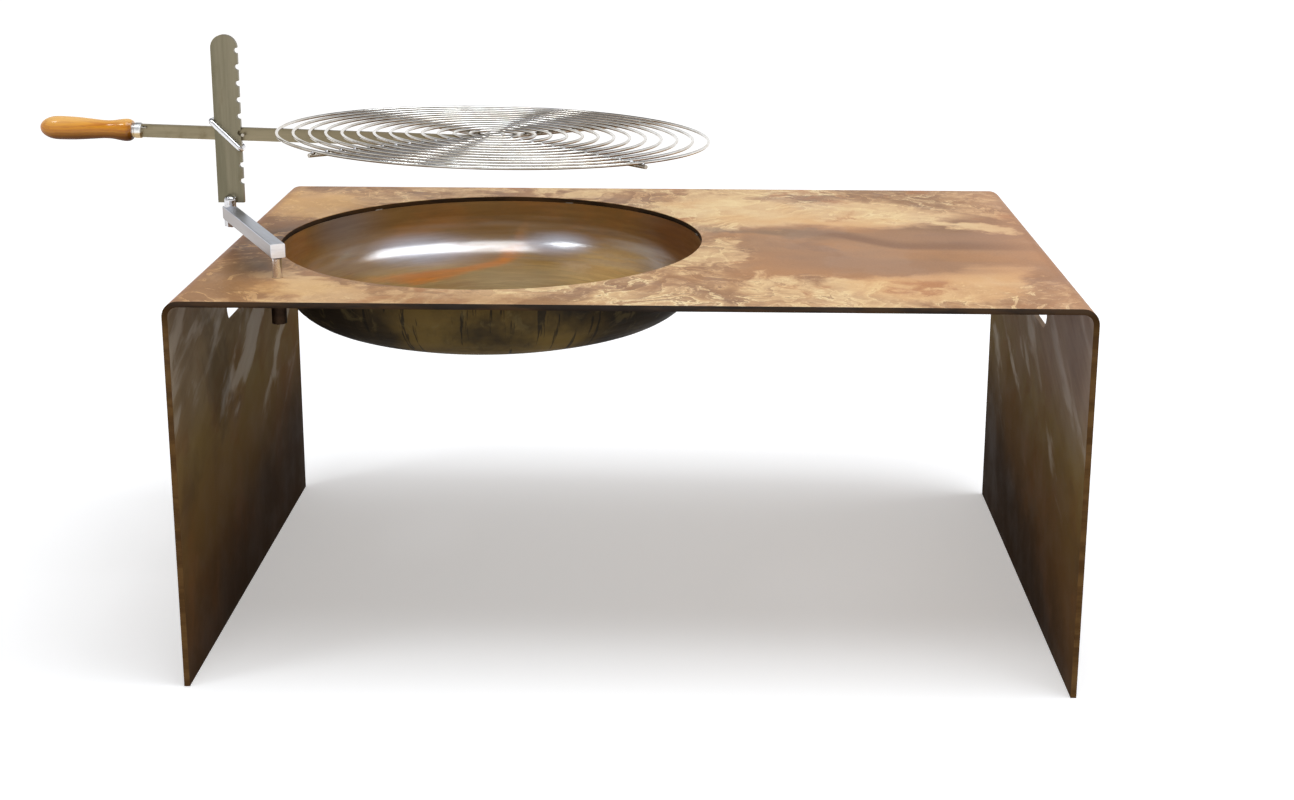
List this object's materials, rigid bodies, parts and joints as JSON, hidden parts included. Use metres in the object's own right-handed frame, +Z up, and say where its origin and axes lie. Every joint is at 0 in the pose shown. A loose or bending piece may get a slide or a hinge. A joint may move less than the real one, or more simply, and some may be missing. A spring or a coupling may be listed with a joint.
{
  "type": "fire bowl barbecue",
  "caption": "Low outdoor barbecue table of bent rust-brown steel plate, with a sunken fire bowl and a round wire grate on a notched, swinging arm with a wooden handle.",
  "frame": {"origin": "on the floor, in the middle of the whole barbecue seen from above, handle and table together", "axes": "+X to the right along the table, away from the handle; +Y to the table's back; +Z up"},
  "size_m": [1.537, 0.8, 0.872],
  "materials": {
    "weathered_plate": "weathering steel sheet with a closed, matt rust patina, cloudy ochre and brown",
    "fire_bowl_steel": "weathering steel bowl, brown and satin inside, nearly black underneath",
    "socket_steel": "dark rusted steel tube",
    "weld_metal": "rippled weld metal, partly bright",
    "swing_steel": "light ground stainless steel",
    "flat_bar_steel": "ground stainless flat bar, satin",
    "rod_steel": "drawn stainless round rod, bright",
    "wire_steel": "drawn stainless round wire, bright",
    "polished_steel": "turned and polished steel",
    "turned_wood": "turned hardwood, orange brown, glossy clear varnish"
  },
  "bodies": {
    "table": {"table_shell": "weathered_plate", "fire_bowl": "fire_bowl_steel", "rim_weld_1": "weld_metal", "rim_weld_2": "weld_metal", "rim_weld_3": "weld_metal", "rim_weld_4": "weld_metal", "rim_weld_5": "weld_metal", "rim_weld_6": "weld_metal", "post_socket": "socket_steel", "socket_cap": "socket_steel"},
    "post": {"swing_post": "rod_steel"},
    "arm": {"swing_arm": "swing_steel", "arm_front_cap": "swing_steel", "arm_back_cap": "swing_steel", "post_weld": "weld_metal"},
    "upright": {"upright_bar": "flat_bar_steel", "swivel_stud": "polished_steel", "swivel_washer": "polished_steel", "swivel_nut": "polished_steel"},
    "slider": {"guide_pin": "rod_steel"},
    "grill": {"grill_bar": "flat_bar_steel", "lock_ring": "rod_steel", "ferrule": "polished_steel", "ferrule_stub": "rod_steel", "handle_tang": "rod_steel", "wooden_handle": "turned_wood", "grate_ring_01": "wire_steel", "grate_ring_02": "wire_steel", "grate_ring_03": "wire_steel", "grate_ring_04": "wire_steel", "grate_ring_05": "wire_steel", "grate_ring_06": "wire_steel", "grate_ring_07": "wire_steel", "grate_ring_08": "wire_steel", "grate_ring_09": "wire_steel", "grate_ring_10": "wire_steel", "grate_ring_11": "wire_steel", "grate_ring_12": "wire_steel", "grate_ring_13": "wire_steel", "grate_ring_14": "wire_steel", "cross_rod_long": "rod_steel", "cross_rod_front": "rod_steel", "cross_rod_back": "rod_steel"}
  },
  "joints": [
    {"name": "post_lift", "type": "slide", "parent": "table", "child": "post", "axis": [0, 0, 1], "range_m": [0, 0.07]},
    {"name": "arm_swing", "type": "hinge", "parent": "post", "child": "arm", "pos_m": [-0.35451, -0.262, 0.6], "axis": [0, 0, 1], "range_deg": [-180, 180]},
    {"name": "upright_swivel", "type": "hinge", "parent": "arm", "child": "upright", "pos_m": [-0.47851, -0.0183, 0.6], "axis": [0, 0, 1], "continuous": true},
    {"name": "height_slide", "type": "slide", "parent": "upright", "child": "slider", "axis": [0, 0, 1], "range_m": [-0.05, 0.1]},
    {"name": "grate_tilt", "type": "hinge", "parent": "slider", "child": "grill", "pos_m": [-0.45571, 0, 0.7198], "axis": [0, -1, 0], "range_deg": [0, 15]}
  ]
}
